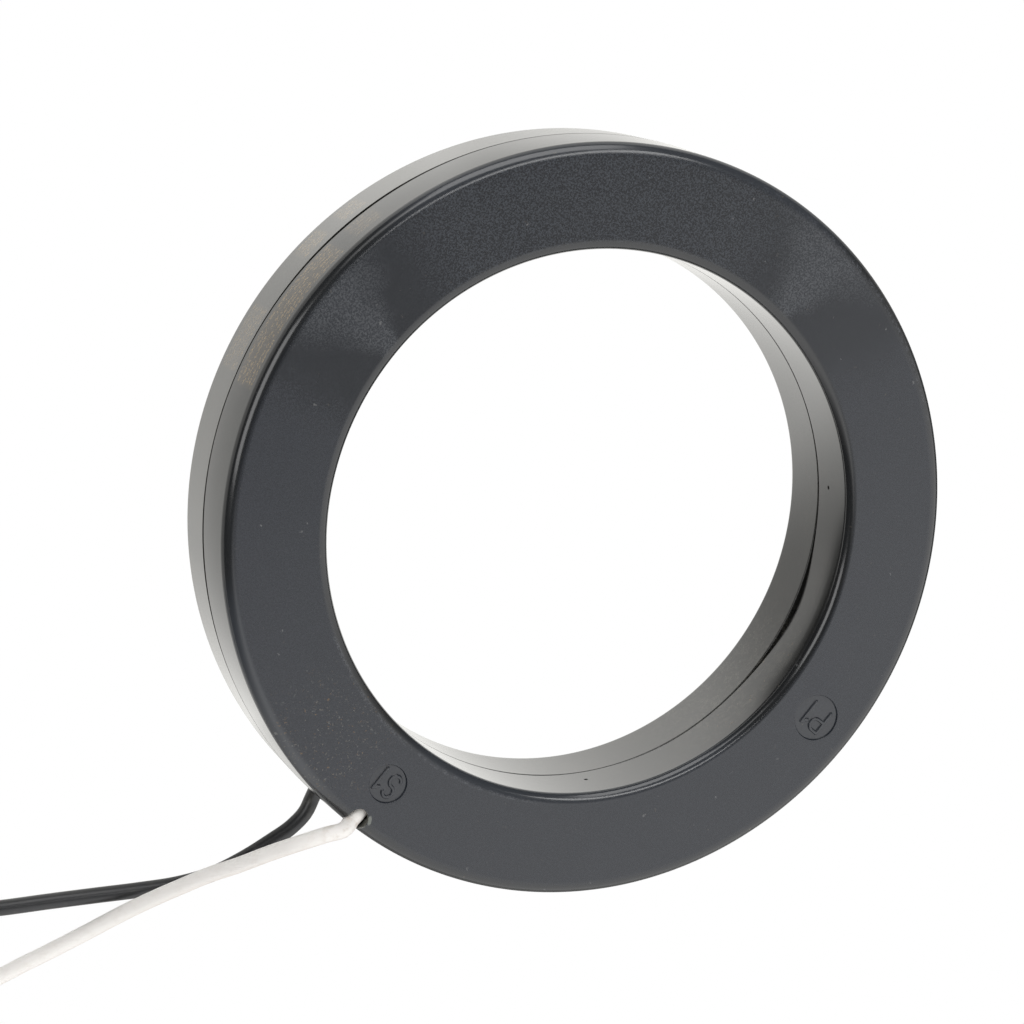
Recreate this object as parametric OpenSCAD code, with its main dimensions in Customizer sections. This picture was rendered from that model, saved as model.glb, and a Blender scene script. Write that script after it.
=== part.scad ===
// Window-type current transformer: a wound steel ring in a two-part moulded case, with two flying leads.
// Z is the axis of the window, the rear face rests on z = 0 and the leads leave towards -Y.

/* [Case] */
// Diameter of the window
window_d = 110; // [90:0.5:150]
// Radial width of the case at the parting line
band_w = 21.2; // [18:0.1:30]
// Height from the rear face to the front face
case_h = 28.6; // [26:0.2:40]
// Thickness of the inner and outer walls
wall = 2; // [1.8:0.1:2.4]
// Thickness of the front and rear faces
face_t = 2.2; // [1.8:0.1:2.6]
// How far the outer wall leans in between the parting line and each face
draft = 0.3; // [0.1:0.05:0.8]
// Radius of the outer edges
rim_r = 2; // [0.8:0.1:2.6]
// Radius of the window's edges
window_edge_r = 1.6; // [0.6:0.1:2.4]
// Radius of the corners inside the cavity
cavity_r = 1; // [0.4:0.1:1.4]
// Chamfer on both halves that makes the groove along the parting line
seam = 0.2; // [0.1:0.05:0.4]

/* [Lap joint] */
// Height of the tongue that the rear half puts into the front half
lap_h = 2; // [1:0.1:3]
// Thickness of the tongue
lap_t = 0.9; // [0.6:0.1:1.1]
// Clearance round the tongue
lap_fit = 0.1; // [0.05:0.05:0.2]

/* [Seat ribs] */
// Places for a rib round each half; the place at the lead exit stays empty
rib_count = 12; // [6:1:14]
// Thickness of a rib
rib_t = 1.6; // [1:0.1:2.4]
// Length of a rib out from the inner wall
rib_len = 8; // [4:0.5:9]
// Height of a rib, and of the space for the leads that it leaves beside the wound ring
rib_h = 4.2; // [4.1:0.1:5]

/* [Wound ring] */
// Clearance between the wound ring and the walls
ring_fit = 0.3; // [0.1:0.1:0.8]
// Clearance between the wound ring and the ribs
seat_fit = 0.1; // [0.05:0.05:0.3]
// Thickness of the outer tape
winding_tape_t = 0.4; // [0.2:0.1:0.8]
// Thickness of the tape on the core
core_tape_t = 0.4; // [0.2:0.1:0.8]
// Radius of the edges of the core
core_edge_r = 1; // [0.6:0.1:1.6]
// Size of the enamelled wire, across its flats
wire_d = 1.3; // [0.8:0.1:1.6]
// Clearance on each side of the wire
wire_fit = 0.05; // [0.02:0.01:0.1]
// Turns through the window
turns = 60; // [20:1:80]

/* [Lead exits] */
// Diameter of the leads
lead_d = 3.2; // [2.8:0.1:3.4]
// Clearance round a lead
lead_fit = 0.2; // [0.1:0.05:0.3]
// Diameter of the hole that a lead comes up through
exit_d = 4.2; // [3.8:0.1:4.8]
// Distance of that hole's middle from the outer edge of the face
exit_inset = 1.8; // [1.7:0.1:2.5]
// Depth of that hole from the face
exit_depth = 3.6; // [3:0.1:5]
// Sideways slant of the leads where they leave, in degrees
exit_yaw = 15; // [5:1:20]
// Depth of the white lead's middle below the front face where it leaves
exit_drop = 1.8; // [1.2:0.1:2]
// Height of the black lead's underside above the rear face where it leaves
exit_lift = 0.8; // [0.4:0.1:1.2]
// Level distance over which a lead climbs to its exit
tail_run = 6.2; // [5.5:0.1:7]
// Radius of a lead's bend inside the case
tail_bend = 6.5; // [6:0.1:7]

/* [Splices] */
// Diameter of a crimp barrel
splice_d = 2.6; // [2:0.1:2.8]
// Length of a crimp barrel
splice_l = 8; // [6:0.5:9]
// Wall of the sleeve over a crimp
sleeve_t = 0.3; // [0.2:0.05:0.35]
// Clearance of that sleeve on the lead
sleeve_fit = 0.05; // [0.02:0.01:0.08]
// Length of that sleeve
sleeve_l = 13; // [11:0.5:15]
// Distance of a crimp's middle from the plane of the lead exits
splice_x = 17; // [16:0.5:19]
// Bare run of the wire between a sleeve and its hole in the tape
wire_run = 2; // [1.5:0.1:3]

/* [Marks] */
// Diameter of the round pad beside the white lead
lead_mark_d = 7.8; // [6:0.1:10]
// Diameter of the round pad a quarter turn away
polarity_mark_d = 9.5; // [6:0.1:12]
// Depth of the pads in the front face
mark_depth = 0.35; // [0.2:0.05:0.8]

/* [Lead coils] */
// Diameter of a coil at the middle of its turns
coil_mid_d = 35; // [32:1:38]
// Diameter of the bare strands at the far end of a lead
strand_d = 1.5; // [1.2:0.1:1.8]
// Length of those bare strands
strand_l = 9; // [6:0.5:12]
// Thickness of the tie round a coil
tie_t = 0.6; // [0.4:0.1:1]
// Angle of the coil that a tie covers, in degrees
tie_span = 9; // [6:1:14]
// Side of the square head of a tie
tie_head = 4; // [3:0.5:4.5]
// Height of the head above the band
tie_head_h = 2; // [1:0.5:3]

/* [Hidden] */
$fn = 120;
over = 1;

// Case
window_r = window_d / 2;
case_r = window_r + band_w;
face_r = case_r - draft;
half_h = case_h / 2;
cavity_ri = window_r + wall;
cavity_ro = face_r - wall;
cavity_h = half_h - face_t;
wall_l = norm([draft, half_h]);
rim_z = half_h - rim_r;
rim_c = [case_r - draft * rim_z / half_h - rim_r * wall_l / half_h, rim_z];
rim_tangent = rim_c + rim_r * [half_h, draft] / wall_l;
mark_r = (window_r + face_r) / 2;
exit_angle = -90;

// Layers of the wound ring, each as a depth below the outside of its tape
ring_ri = cavity_ri + ring_fit;
ring_ro = cavity_ro - ring_fit;
ring_z0 = face_t + rib_h + seat_fit;
ring_z1 = case_h - ring_z0;
wire_in = winding_tape_t + wire_fit + wire_d / 2;
core_tape_in = winding_tape_t + wire_d + 2 * wire_fit;
core_in = core_tape_in + core_tape_t;
core_tape_r = core_edge_r + core_tape_t;

// Leads inside the case: a side of -1 or 1 along X, and the height of the space that each runs in
lead_r = lead_d / 2;
exit_r = face_r - exit_inset;
out_reach = exit_inset / 2;
lead_y = -(exit_r + out_reach);
slot_w = lead_d + 2 * lead_fit;
gap_z = face_t + rib_h / 2;
white_side = -1;
black_side = 1;
white_gap_z = case_h - gap_z;
black_gap_z = gap_z;
bend_steps = 5;
wire_hole_d = 1.5 * wire_d + 0.3;

function unit(v) = v / norm(v);
function polar(r, a, z = 0) = [r * cos(a), r * sin(a), z];
function heading(side) = [side * sin(exit_yaw), -cos(exit_yaw), 0];
// Where the tail of a lead ends and its free length starts
function exit_point(side, z) = [side * out_reach * tan(exit_yaw), lead_y, z];
white_exit = exit_point(white_side, case_h - exit_drop);
black_exit = exit_point(black_side, lead_r + exit_lift);
// Where the tail starts to climb, and the middle of the bend before it
function climb_start(side, exit, z) =
    let (p = exit - tail_run * heading(side)) [p[0], p[1], z];
function bend_middle(side, exit, z) =
    climb_start(side, exit, z) - tail_bend * [side * cos(exit_yaw), sin(exit_yaw), 0];
splice_y = bend_middle(white_side, white_exit, white_gap_z)[1] + tail_bend;
function splice_middle(side, z) = [-side * splice_x, splice_y, z];
function wire_bend(side, z) = [-side * (splice_x + sleeve_l / 2 + wire_run), splice_y, z];
function exit_dir(side, exit, z) = unit(exit - climb_start(side, exit, z));

// Route of a tail: out of its crimp, round the bend and up or down to the exit
function tail_route(side, exit, z) = concat(
    [splice_middle(side, z) + [side * splice_l / 2, 0, 0]],
    [for (i = [0 : bend_steps])
        let (a = 90 + (exit_yaw - 90) * i / bend_steps)
        bend_middle(side, exit, z) + tail_bend * [side * cos(a), sin(a), 0]],
    [exit]
);

// Coils of the unseen lead: a foot of three turns side by side, with two more lying in their grooves
coil_mid_r = coil_mid_d / 2;
coil_z = tie_t;
row_rise = lead_d * sin(60);
coil_in_r = coil_mid_r - 1.5 * lead_d;
coil_out_r = coil_mid_r + 1.5 * lead_d;
first_turn_r = coil_mid_r + lead_d;
last_turn_r = coil_mid_r + lead_r;
last_turn_z = coil_z + lead_r + row_rise;
stub_l = sqrt((coil_out_r + lead_d) ^ 2 - first_turn_r ^ 2);

// Each coil, placed from the lead exits: its centre and the way it winds,
// then the angles of its first turn's start, its end and its tie
white_coil = [-32, lead_y - 104.55, 0];
white_wind = 1;
white_entry = 132;
white_finish = 276;
white_tie = 20;
black_coil = [-71, lead_y - 61.05, 0];
black_wind = -1;
black_entry = -48;
black_finish = 168;
black_tie = 230;

function winding_dir(a, wind) = wind * [-sin(a), cos(a), 0];
function coil_start(centre, a, wind) =
    centre + polar(first_turn_r, a, coil_z + lead_r) - stub_l * winding_dir(a, wind);

// Routes of the free leads, from the exit to the first turn of each coil
floor_z = lead_r + 0.05;
// Points as X, the distance from the exit along Y, and a share of the exit's height
white_points = [
    [-1, -2.25, 1.074], [-3.6, -5.25, 1.099], [-6, -9.05, 1.068], [-8.2, -14.85, 0.92],
    [-9.8, -20.75, 0.746], [-11.8, -26.75, 0.573], [-13.3, -32.45, 0.424], [-14.9, -38.05, 0.296],
    [-16.6, -44.25, 0.174], [-18.8, -51.05, 0.092], [-22, -58.45, 0], [-24.7, -63.75, 0],
    [-27.7, -69.75, 0], [-31.8, -75.65, 0]
];
// Points as X and the distance from the exit along Y, all of them lying flat
black_points = [
    [1.1, -2.25], [2, -5.55], [1.7, -9.55], [0.1, -14.65], [-2.2, -20.75], [-5.5, -27.25],
    [-10, -32.95], [-15.5, -38.35], [-22, -44.35], [-29.1, -50.95], [-36.3, -57.75], [-42, -62.85]
];
white_route = concat(
    [white_exit],
    [for (p = white_points) [p[0], lead_y + p[1], max(floor_z, p[2] * white_exit[2])]],
    [coil_start(white_coil, white_entry, white_wind)]
);
black_route = concat(
    [black_exit],
    [for (p = black_points) [p[0], lead_y + p[1], floor_z]],
    [coil_start(black_coil, black_entry, black_wind)]
);

// Route of the secondary wire: eight corners to a turn, as points of the ring's section
corner_cut_l = (core_tape_r + wire_fit + wire_d / 2) * (1 - tan(22.5));
wire_ri = ring_ri + wire_in;
wire_ro = ring_ro - wire_in;
wire_z0 = ring_z0 + wire_in;
wire_z1 = ring_z1 - wire_in;
turn_corners = [
    [wire_ro - corner_cut_l, wire_z1], [wire_ri + corner_cut_l, wire_z1],
    [wire_ri, wire_z1 - corner_cut_l], [wire_ri, wire_z0 + corner_cut_l],
    [wire_ri + corner_cut_l, wire_z0], [wire_ro - corner_cut_l, wire_z0],
    [wire_ro, wire_z0 + corner_cut_l], [wire_ro, wire_z1 - corner_cut_l]
];
wire_start = wire_bend(white_side, white_gap_z);
wire_finish = wire_bend(black_side, black_gap_z);
start_angle = atan2(wire_start[1], wire_start[0]);
winding_arc = 360 + 2 * (exit_angle - start_angle);
corner_count = 8 * (turns - 1) + 4;
corner_step = winding_arc / (corner_count + 1);
wire_route = concat(
    [splice_middle(white_side, white_gap_z) - [white_side * splice_l / 2, 0, 0], wire_start],
    [[wire_start[0], wire_start[1], wire_z1]],
    [for (i = [1 : corner_count])
        let (c = turn_corners[i % 8]) polar(c[0], start_angle + i * corner_step, c[1])],
    [[wire_finish[0], wire_finish[1], wire_z0]],
    [wire_finish, splice_middle(black_side, black_gap_z) - [black_side * splice_l / 2, 0, 0]]
);
// The wire's section keeps one side along the ring, and turns upright at its two ends
wire_refs = [for (i = [0 : len(wire_route) - 1])
    let (p = wire_route[i])
    i == 0 || i == len(wire_route) - 1 ? [0, 0, 1] : unit([-p[1], p[0], 0])];

// A ring of points round p, square to the direction t, with one side along ref
function section_ring(p, t, ref, r, sides) =
    let (v = unit(ref - (ref * t) * t), u = cross(v, t))
    [for (k = [0 : sides - 1]) let (a = 360 * (k + 0.5) / sides) p + r * (cos(a) * u + sin(a) * v)];
// Direction of a route at its point i: the mean of the two sides that meet there
function route_dir(route, i) =
    let (n = len(route) - 1, a = max(i, 1), b = min(i, n - 1))
    unit(unit(route[a] - route[a - 1]) + unit(route[b + 1] - route[b]));

// A closed tube along a route; first and last give its directions at the two ends
module tube(route, refs, r, sides, first, last) {
    n = len(route);
    points = [for (i = [0 : n - 1])
        let (t = i == 0 ? first : i == n - 1 ? last : route_dir(route, i))
        each section_ring(route[i], t, refs[i], r, sides)];
    walls = [for (i = [0 : n - 2], k = [0 : sides - 1])
        let (a = i * sides + k, b = i * sides + (k + 1) % sides)
        each [[a, a + sides, b + sides], [a, b + sides, b]]];
    start_cap = [for (k = [0 : sides - 1]) k];
    end_cap = [for (k = [sides - 1 : -1 : 0]) (n - 1) * sides + k];
    polyhedron(points, concat(walls, [start_cap, end_cap]));
}

module lead_tube(route, first, last) {
    tube(route, [for (p = route) [0, 0, 1]], lead_r, 8, first, last);
}

// The corner that is left outside a rounding of radius r, with its tip at the origin
module corner_cut(r) {
    difference() {
        translate([-over, -over]) square(r + over);
        translate([r, r]) circle(r);
    }
}

// A rectangle in the plane of the axis with all corners rounded
module rounded_section(ri, ro, z0, z1, r) {
    difference() {
        translate([ri, z0]) square([ro - ri, z1 - z0]);
        translate([ri, z0]) corner_cut(r);
        translate([ro, z0]) mirror([1, 0]) corner_cut(r);
        translate([ri, z1]) mirror([0, 1]) corner_cut(r);
        translate([ro, z1]) rotate(180) corner_cut(r);
    }
}

// One half of the case, from the parting plane at z = 0 up to its face
module shell_section() {
    difference() {
        polygon([
            [window_r + seam, 0], [case_r - seam, 0], [case_r - draft * seam / half_h, seam],
            [face_r, half_h], [window_r, half_h], [window_r, seam]
        ]);
        difference() {
            polygon([
                rim_c, rim_tangent + (rim_tangent - rim_c) / 2,
                [face_r + over, half_h + over], [rim_c[0], half_h + over]
            ]);
            translate(rim_c) circle(rim_r);
        }
        translate([window_r, half_h]) mirror([0, 1]) corner_cut(window_edge_r);
        difference() {
            translate([cavity_ri, -over]) square([cavity_ro - cavity_ri, cavity_h + over]);
            translate([cavity_ri, cavity_h]) mirror([0, 1]) corner_cut(cavity_r);
            translate([cavity_ro, cavity_h]) rotate(180) corner_cut(cavity_r);
        }
    }
}

// The tongues on both walls, or with a fit the room for them
module lap_section(fit) {
    translate([cavity_ro, -over]) square([lap_t + fit, lap_h + fit + over]);
    translate([cavity_ri - lap_t - fit, -over]) square([lap_t + fit, lap_h + fit + over]);
}

// Ribs that the wound ring sits on, under the face of a half
module seat_ribs() {
    for (i = [0 : rib_count - 1]) {
        a = exit_angle + 360 * i / rib_count;
        if (i > 0)
            rotate(a) translate([cavity_ri - wall / 2, -rib_t / 2, cavity_h - rib_h])
                cube([rib_len + wall / 2, rib_t, rib_h + face_t / 2]);
    }
}

// Round hole and slanted slot for a lead, in the corner between a face and the outer wall
module exit_cut(side, exit, z, hole_z) {
    dir = exit_dir(side, exit, z);
    translate([0, -exit_r, hole_z]) cylinder(d = exit_d, h = exit_depth + over);
    translate(climb_start(side, exit, z)) rotate([0, 90 - asin(dir[2]), atan2(dir[1], dir[0])])
        translate([-slot_w / 2, -slot_w / 2, 0]) cube([slot_w, slot_w, 2 * tail_run + exit_inset]);
}

module front_shell() {
    color("#2b2d30") difference() {
        translate([0, 0, half_h]) {
            rotate_extrude() difference() {
                shell_section();
                lap_section(lap_fit);
            }
            seat_ribs();
        }
        exit_cut(white_side, white_exit, white_gap_z, case_h - exit_depth);
        translate([0, -mark_r, case_h - mark_depth]) cylinder(d = lead_mark_d, h = over);
        translate([mark_r, 0, case_h - mark_depth]) cylinder(d = polarity_mark_d, h = over);
    }
}

module rear_shell() {
    color("#232528") difference() {
        translate([0, 0, half_h]) mirror([0, 0, 1]) {
            rotate_extrude() {
                shell_section();
                mirror([0, 1]) intersection() {
                    lap_section(0);
                    translate([0, -seam]) square([2 * case_r, lap_h + seam]);
                }
            }
            seat_ribs();
        }
        exit_cut(black_side, black_exit, black_gap_z, -over);
    }
}

// One layer of the wound ring: depth below the outside of the tape, and corner radius
module layer_section(depth, r) {
    rounded_section(ring_ri + depth, ring_ro - depth, ring_z0 + depth, ring_z1 - depth, r);
}

module core() {
    color("slategray") rotate_extrude() layer_section(core_in, core_edge_r);
}

module core_tape() {
    color("khaki") rotate_extrude() difference() {
        layer_section(core_tape_in, core_tape_r);
        layer_section(core_in, core_edge_r);
    }
}

module secondary_winding() {
    color("peru") tube(wire_route, wire_refs, wire_d / sqrt(2), 4, [1, 0, 0], [1, 0, 0]);
}

module winding_tape() {
    color("gold") difference() {
        rotate_extrude() difference() {
            layer_section(0, core_edge_r + winding_tape_t);
            layer_section(winding_tape_t, core_edge_r);
        }
        translate([wire_start[0], wire_start[1], ring_z1 - wire_in])
            cylinder(d = wire_hole_d, h = wire_in + over);
        translate([wire_finish[0], wire_finish[1], ring_z0 - over])
            cylinder(d = wire_hole_d, h = wire_in + over);
    }
}

module lead_tail(side, exit, z) {
    lead_tube(tail_route(side, exit, z), [side, 0, 0], exit_dir(side, exit, z));
}

module white_lead_tail() {
    color("whitesmoke") lead_tail(white_side, white_exit, white_gap_z);
}

module black_lead_tail() {
    color("#1c1c1e") lead_tail(black_side, black_exit, black_gap_z);
}

// A round bar or, with a bore, a tube along X round the middle of a crimp
module splice_bar(side, z, d, l, bore = 0) {
    translate(splice_middle(side, z)) rotate([0, 90, 0]) difference() {
        cylinder(d = d, h = l, center = true);
        if (bore > 0) cylinder(d = bore, h = l + over, center = true);
    }
}

module splice_sleeve(side, z) {
    bore = lead_d + 2 * sleeve_fit;
    splice_bar(side, z, bore + 2 * sleeve_t, sleeve_l, bore);
}

module white_splice() {
    color("silver") splice_bar(white_side, white_gap_z, splice_d, splice_l);
}

module black_splice() {
    color("silver") splice_bar(black_side, black_gap_z, splice_d, splice_l);
}

module white_splice_sleeve() {
    color("ivory") splice_sleeve(white_side, white_gap_z);
}

module black_splice_sleeve() {
    color("ivory") splice_sleeve(black_side, black_gap_z);
}

module white_lead() {
    color("whitesmoke") lead_tube(
        white_route, exit_dir(white_side, white_exit, white_gap_z), winding_dir(white_entry, white_wind));
}

module black_lead() {
    color("#1c1c1e") lead_tube(
        black_route, exit_dir(black_side, black_exit, black_gap_z), winding_dir(black_entry, black_wind));
}

// Outline of a coil's turns in the plane of its axis, grown by g on every side
function coil_outline(g) = [
    [coil_in_r - g, coil_z - g], [coil_out_r + g, coil_z - g], [coil_out_r + g, coil_z + lead_d],
    [coil_out_r - lead_r + g, coil_z + lead_d + row_rise + g],
    [coil_in_r + lead_r - g, coil_z + lead_d + row_rise + g], [coil_in_r - g, coil_z + lead_d]
];

// A straight round bar along dir from the point p
module bar(p, dir, d, l) {
    translate(p) rotate([0, 0, atan2(dir[1], dir[0])]) rotate([0, 90, 0]) cylinder(d = d, h = l);
}

// The turns as one solid, with the straight ends where the lead runs in and where it stops
module lead_coil(centre, entry, finish, wind) {
    translate(centre) rotate_extrude() polygon(coil_outline(0));
    bar(coil_start(centre, entry, wind), winding_dir(entry, wind), lead_d, stub_l);
    bar(centre + polar(last_turn_r, finish, last_turn_z), winding_dir(finish, wind), lead_d, stub_l);
}

module lead_end(centre, finish, wind) {
    dir = winding_dir(finish, wind);
    bar(centre + polar(last_turn_r, finish, last_turn_z) + stub_l * dir, dir, strand_d, strand_l);
}

module coil_tie(centre, a) {
    translate(centre) rotate(a) {
        rotate(-tie_span / 2) rotate_extrude(angle = tie_span) difference() {
            polygon(coil_outline(tie_t));
            polygon(coil_outline(0));
        }
        translate([coil_mid_r - tie_head / 2, -tie_head / 2, coil_z + lead_d + row_rise + tie_t / 2])
            cube([tie_head, tie_head, tie_t / 2 + tie_head_h]);
    }
}

module white_lead_coil() {
    color("whitesmoke") lead_coil(white_coil, white_entry, white_finish, white_wind);
}

module black_lead_coil() {
    color("#1c1c1e") lead_coil(black_coil, black_entry, black_finish, black_wind);
}

module white_lead_end() {
    color("lightgray") lead_end(white_coil, white_finish, white_wind);
}

module black_lead_end() {
    color("lightgray") lead_end(black_coil, black_finish, black_wind);
}

module white_coil_tie() {
    color("gainsboro") coil_tie(white_coil, white_tie);
}

module black_coil_tie() {
    color("gainsboro") coil_tie(black_coil, black_tie);
}

front_shell();
rear_shell();
core();
core_tape();
secondary_winding();
winding_tape();
white_lead_tail();
black_lead_tail();
white_splice();
black_splice();
white_splice_sleeve();
black_splice_sleeve();
white_lead();
black_lead();
white_lead_coil();
black_lead_coil();
white_lead_end();
black_lead_end();
white_coil_tie();
black_coil_tie();
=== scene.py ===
import math

import bpy
import bmesh
import numpy as np
from mathutils import Matrix, Vector


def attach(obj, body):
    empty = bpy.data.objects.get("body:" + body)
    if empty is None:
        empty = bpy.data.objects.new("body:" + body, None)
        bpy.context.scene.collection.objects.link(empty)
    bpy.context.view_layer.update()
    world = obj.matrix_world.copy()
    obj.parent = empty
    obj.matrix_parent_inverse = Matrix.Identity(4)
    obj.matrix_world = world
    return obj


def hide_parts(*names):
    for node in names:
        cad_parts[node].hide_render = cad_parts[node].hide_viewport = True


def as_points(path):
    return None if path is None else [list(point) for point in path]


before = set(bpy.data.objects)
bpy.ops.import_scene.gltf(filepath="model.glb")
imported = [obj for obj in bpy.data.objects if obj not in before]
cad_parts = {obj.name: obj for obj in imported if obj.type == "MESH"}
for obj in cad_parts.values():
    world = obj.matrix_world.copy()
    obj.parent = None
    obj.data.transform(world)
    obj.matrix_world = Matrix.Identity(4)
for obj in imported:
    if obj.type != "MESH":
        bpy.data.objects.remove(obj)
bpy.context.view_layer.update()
MM = 0.001

# Case sizes in millimetres, as in the part
WINDOW_R, BAND_W, CASE_H = 55.0, 21.2, 28.6
DRAFT, RIM_R, RIM_W = 0.3, 2.0, 2.5
WINDOW_EDGE_R, WINDOW_EDGE_W = 1.6, 2.0
WALL, FACE_T, CAVITY_R = 2.0, 2.2, 1.0
CASE_R = WINDOW_R + BAND_W
FACE_R = CASE_R - DRAFT
HALF_H = CASE_H / 2
WALL_TOP = HALF_H - WINDOW_EDGE_R

# Seam between the halves: its groove, the two lips, and how far up the wall an open seam is felt
GROOVE_H, LIP_H, FRONT_LIP_R, REAR_LIP_R, SEAM_REACH = 0.11, 0.2, 0.09, 0.28, 3.0

# Mark pads on the face: place, diameter, mark and its height
PADS = ((0.2, -65.1, 7.8, "S1", 4.8), (65.7, 0.0, 9.5, "P1", 5.0))
PAD_DEPTH, PAD_MARGIN, MARK_LEAN = 0.35, 0.55, math.pi

# Pin marks round the bore wall
PIN_TURNS, PIN_Z, PIN_R, PIN_DEPTH = (44.0, 134.0, 224.0, 314.0), 19.2, 0.42, 0.3

# Leads and their exits
LEAD_D = 3.2
LEAD_R = LEAD_D / 2
EXIT_R, EXIT_D, EXIT_DEPTH, YAW = FACE_R - 1.8, 4.2, 3.6, math.radians(15)
SLOT_W, TAIL_RUN, TAIL_BEND, REACH = LEAD_D + 0.4, 6.2, 6.5, 0.9
LEAD_Y = -(EXIT_R + REACH)
TAIL_Z = FACE_T + 2.1
WHITE_OUT_Z, BLACK_OUT_Z = CASE_H - 1.8, LEAD_R + 0.8

# Coils of spare lead, their ties and the bare ends
COIL_MID, TIE_T, TIE_GAP = 17.5, 0.6, 0.04
ROW_RISE = LEAD_D * math.sin(math.radians(60))
TIE_TOP = TIE_T + LEAD_D + ROW_RISE
STUB_L = math.sqrt((COIL_MID + 2.5 * LEAD_D) ** 2 - (COIL_MID + LEAD_D) ** 2)
BARE_L, STRAND_R, STRAND_SIDES = 9.0, 0.15, 7
STRAND_RINGS = ((1, 0.0), (6, 0.31), (12, 0.60))

# Camera: lens and sensor in millimetres, its place in metres
LENS, SENSOR = 122.723, 36.0
CAMERA_AT = (-0.28433, -0.05040, 0.65529)
CAMERA_LOOK = (0.39302, 0.06128, -0.91748)
CAMERA_UP = (-0.59798, 0.77501, -0.20439)


def add(name, data):
    obj = bpy.data.objects.new(name, data)
    bpy.context.collection.objects.link(obj)
    return obj


def set_camera():
    data = bpy.data.cameras.new("photo_camera")
    data.lens, data.sensor_width = LENS, SENSOR
    data.clip_start, data.clip_end = 0.01, 20.0
    look = Vector(CAMERA_LOOK).normalized()
    right = look.cross(Vector(CAMERA_UP)).normalized()
    turn = Matrix((right, right.cross(look), -look)).transposed().to_4x4()
    cam = add("photo_camera", data)
    cam.matrix_world = Matrix.Translation(CAMERA_AT) @ turn
    bpy.context.scene.camera = cam


set_camera()


# A node socket that can be used in arithmetic
class Sock:
    def __init__(self, net, out):
        self.net, self.out = net, out

    def _op(self, op, a, b):
        return self.net.node("ShaderNodeMath", operation=op, ins=(a, b))

    def __add__(self, o):
        return self._op("ADD", self, o)

    def __radd__(self, o):
        return self._op("ADD", o, self)

    def __sub__(self, o):
        return self._op("SUBTRACT", self, o)

    def __rsub__(self, o):
        return self._op("SUBTRACT", o, self)

    def __mul__(self, o):
        return self._op("MULTIPLY", self, o)

    def __rmul__(self, o):
        return self._op("MULTIPLY", o, self)

    def __truediv__(self, o):
        return self._op("DIVIDE", self, o)

    def __rtruediv__(self, o):
        return self._op("DIVIDE", o, self)

    def __pow__(self, o):
        return self._op("POWER", self, o)

    def __abs__(self):
        return self.max(self * -1.0)

    def max(self, o):
        return self._op("MAXIMUM", self, o)

    def min(self, o):
        return self._op("MINIMUM", self, o)

    # A smooth rise from 0 at a to 1 at b
    def step(self, a, b):
        return self.net.node("ShaderNodeMapRange", interpolation_type="SMOOTHSTEP", ins={
            "Value": self, "From Min": a, "From Max": b, "To Min": 0.0, "To Max": 1.0})

    # One inside the band from a to b, with soft edges of width e
    def band(self, a, b, e):
        return self.step(a - e, a) * (1.0 - self.step(b, b + e))


# A node tree, with short ways to add the nodes used here
class Net:
    def __init__(self, tree):
        self.tree = tree
        tree.nodes.clear()

    # Makes one node; ins holds values or sockets by name or by order
    def node(self, kind, out=0, ins=(), **props):
        n = self.tree.nodes.new(kind)
        for k, v in props.items():
            setattr(n, k, v)
        for k, v in (ins.items() if isinstance(ins, dict) else enumerate(ins)):
            if isinstance(v, Sock):
                self.tree.links.new(v.out, n.inputs[k])
            elif v is not None:
                n.inputs[k].default_value = v
        return Sock(self, n.outputs[out]) if len(n.outputs) else n

    def noise(self, at, scale, detail=2.0, rough=0.5, out="Fac"):
        return self.node("ShaderNodeTexNoise", out=out, ins={
            "Vector": at, "Scale": scale, "Detail": detail, "Roughness": rough})

    def cells(self, at, scale, out="Distance"):
        return self.node("ShaderNodeTexVoronoi", out=out, ins={"Vector": at, "Scale": scale})

    def vector(self, operation, ins):
        return self.node("ShaderNodeVectorMath", operation=operation, ins=ins)

    def join(self, x, y, z):
        return self.node("ShaderNodeCombineXYZ", ins=(x, y, z))

    def mix(self, f, a, b):
        return self.node("ShaderNodeMix", out=2, data_type="RGBA", ins={0: f, 6: a, 7: b})

    def xyz(self, v):
        n = self.tree.nodes.new("ShaderNodeSeparateXYZ")
        self.tree.links.new(v.out, n.inputs[0])
        return [Sock(self, o) for o in n.outputs]

    def bump(self, height, strength, distance, normal=None):
        return self.node("ShaderNodeBump", ins={
            "Height": height, "Strength": strength, "Distance": distance, "Normal": normal})


def rgb(r, g, b):
    return (r, g, b, 1.0)


# Distance of a point from a place, seen from above
def away_from(x, y, px, py):
    return ((x - px) * (x - px) + (y - py) * (y - py)) ** 0.5


# How far a point lies along a bearing in degrees, seen from above
def along_bearing(x, y, bearing):
    return x * math.cos(math.radians(bearing)) + y * math.sin(math.radians(bearing))


def material(name):
    m = bpy.data.materials.new(name)
    m.use_nodes = True
    return m, Net(m.node_tree)


SOCKETS = {"color": "Base Color", "rough": "Roughness", "metal": "Metallic", "normal": "Normal", "ior": "IOR"}


def surface(net, **ins):
    bsdf = net.node("ShaderNodeBsdfPrincipled", ins={SOCKETS[k]: v for k, v in ins.items()})
    net.node("ShaderNodeOutputMaterial", ins={"Surface": bsdf})


def object_mm(net):
    return net.vector("SCALE", {0: net.node("ShaderNodeTexCoord", out="Object"), "Scale": 1000.0})


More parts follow.
